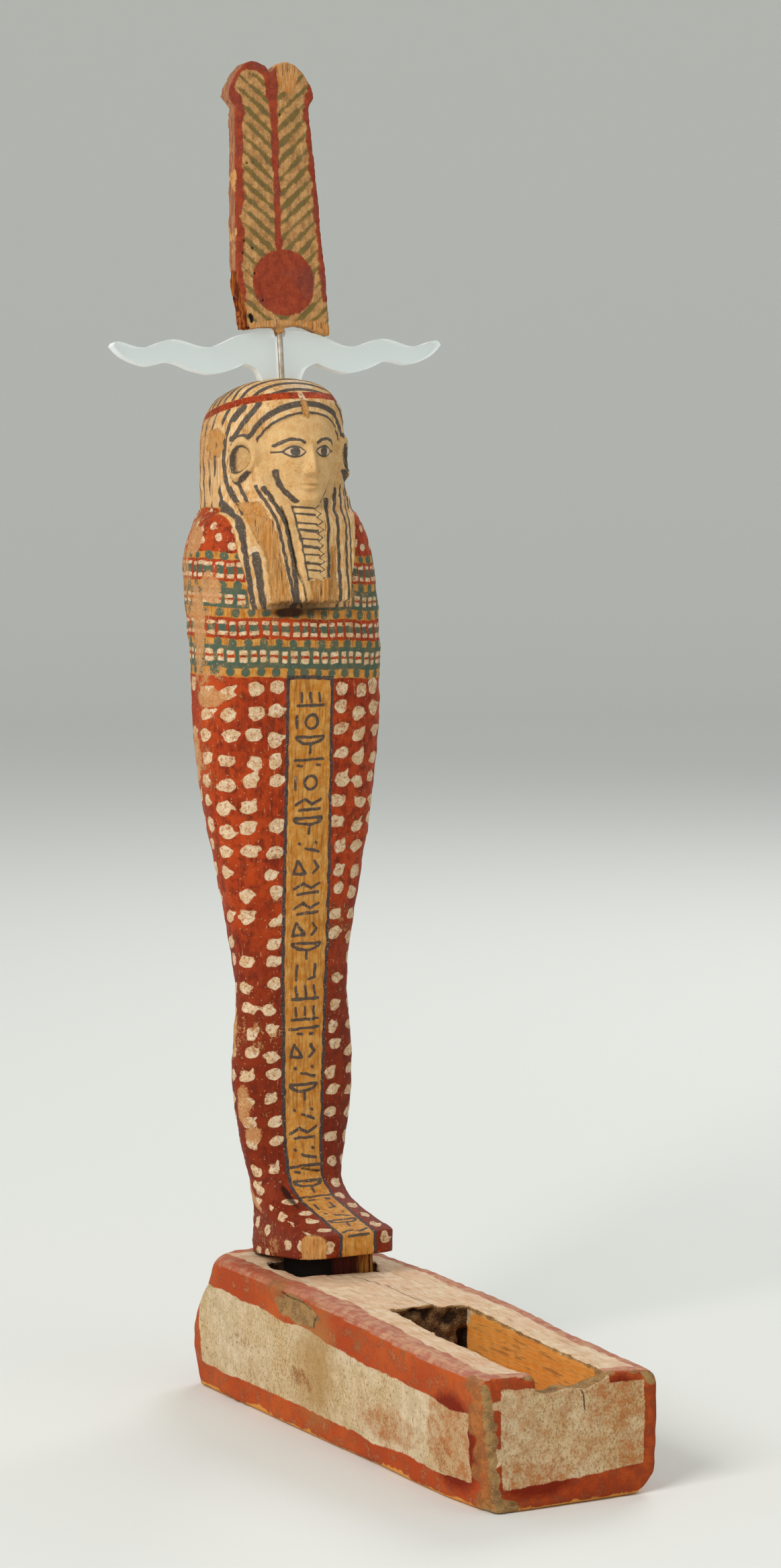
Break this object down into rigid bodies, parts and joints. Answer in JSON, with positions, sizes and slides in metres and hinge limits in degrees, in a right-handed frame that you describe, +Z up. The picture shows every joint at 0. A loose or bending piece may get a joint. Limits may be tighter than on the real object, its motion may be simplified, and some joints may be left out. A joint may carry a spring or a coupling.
{
  "type": "ptah-sokar-osiris statuette",
  "caption": "Standing mummy-shaped wooden funerary figure with wig, beard and feather crown on wavy clear horns, set near the rear of a long box plinth with an open cavity.",
  "frame": {"origin": "middle of the plinth's flat underside", "axes": "+Z up, -Y the way the figure faces, +X to the figure's left"},
  "size_m": [0.18, 0.3251, 0.6577],
  "materials": {
    "plinth_wood": "cream whitewash with red borders, worn to bare wood",
    "figure_paint": "red paint with cream dots, ochre and dark bands, worn",
    "clear_plastic": "frosted clear sheet with bright edges",
    "rod_metal": "plain thin rod",
    "plume_paint": "ochre paint with green barbs and red lines, worn"
  },
  "bodies": {
    "root": {"plinth": "plinth_wood", "figure": "figure_paint", "horn_plate": "clear_plastic", "crown_rod": "rod_metal", "plume_crown": "plume_paint"}
  },
  "joints": []
}
